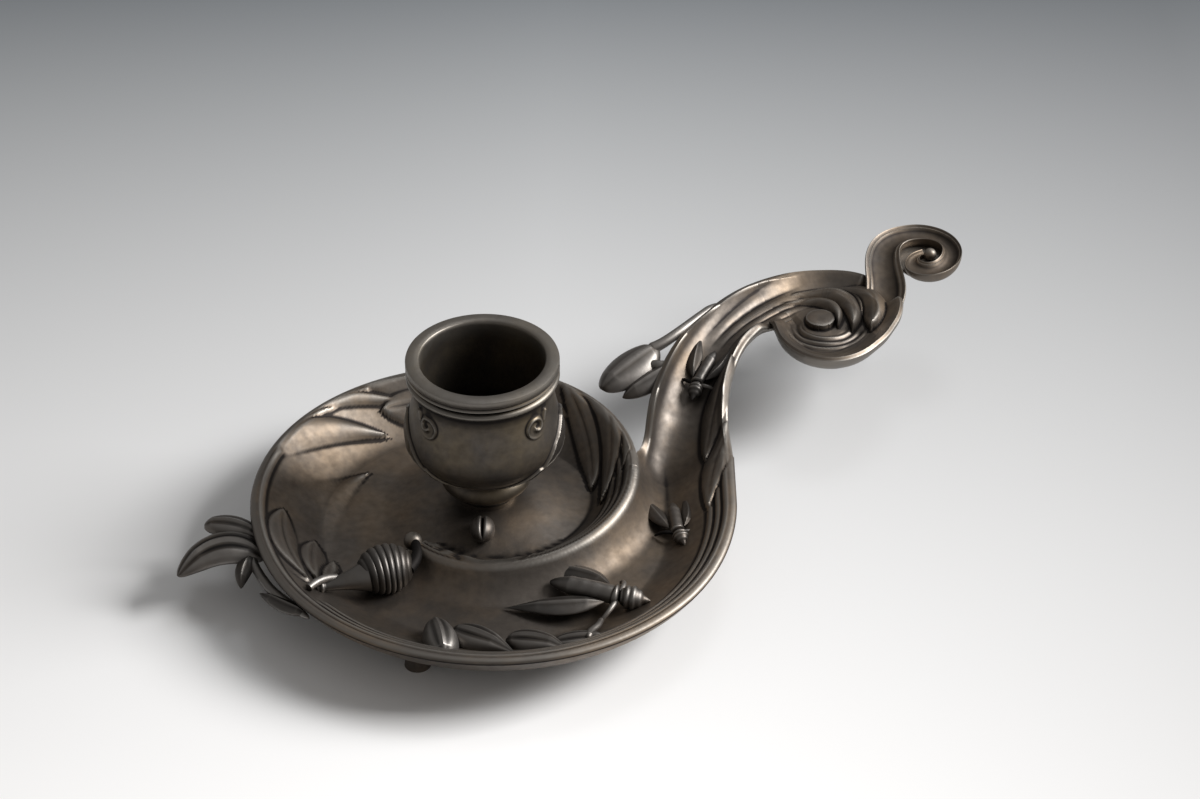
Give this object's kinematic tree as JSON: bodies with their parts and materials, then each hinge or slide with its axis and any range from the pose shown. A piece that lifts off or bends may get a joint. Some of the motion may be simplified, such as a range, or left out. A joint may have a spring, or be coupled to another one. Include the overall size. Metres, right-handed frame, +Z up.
{
  "type": "chamberstick",
  "caption": "Cast metal chamberstick: spiral drip pan, rising trough handle ending in a scroll and a curl, and an urn-shaped candle socket on a knop.",
  "frame": {"origin": "on the table, under the middle of the object's bounding box", "axes": "+Z up, along the candle; +X from the socket towards the scroll end of the handle; +Y away from the front"},
  "size_m": [0.149, 0.1204, 0.04],
  "materials": {
    "pan_metal": "dark patinated white metal, satin, bright where it is rubbed",
    "socket_metal": "dark patinated white metal, satin, bright where it is rubbed",
    "ornament_metal": "dark patinated white metal, satin, bright where it is rubbed",
    "fixing_steel": "dull steel"
  },
  "bodies": {
    "root": {"pan": "pan_metal", "feet": "pan_metal", "handle_trough": "pan_metal", "handle_scroll": "pan_metal", "handle_curl": "pan_metal", "handle_leaf": "ornament_metal", "side_leaf": "ornament_metal", "socket_knop": "socket_metal", "socket_cup": "socket_metal", "bud": "ornament_metal", "bud_stem": "ornament_metal", "seed": "ornament_metal", "front_fly": "ornament_metal", "side_fly": "ornament_metal", "trough_fly": "ornament_metal", "socket_screw": "fixing_steel", "screw_washer": "fixing_steel"}
  },
  "joints": []
}
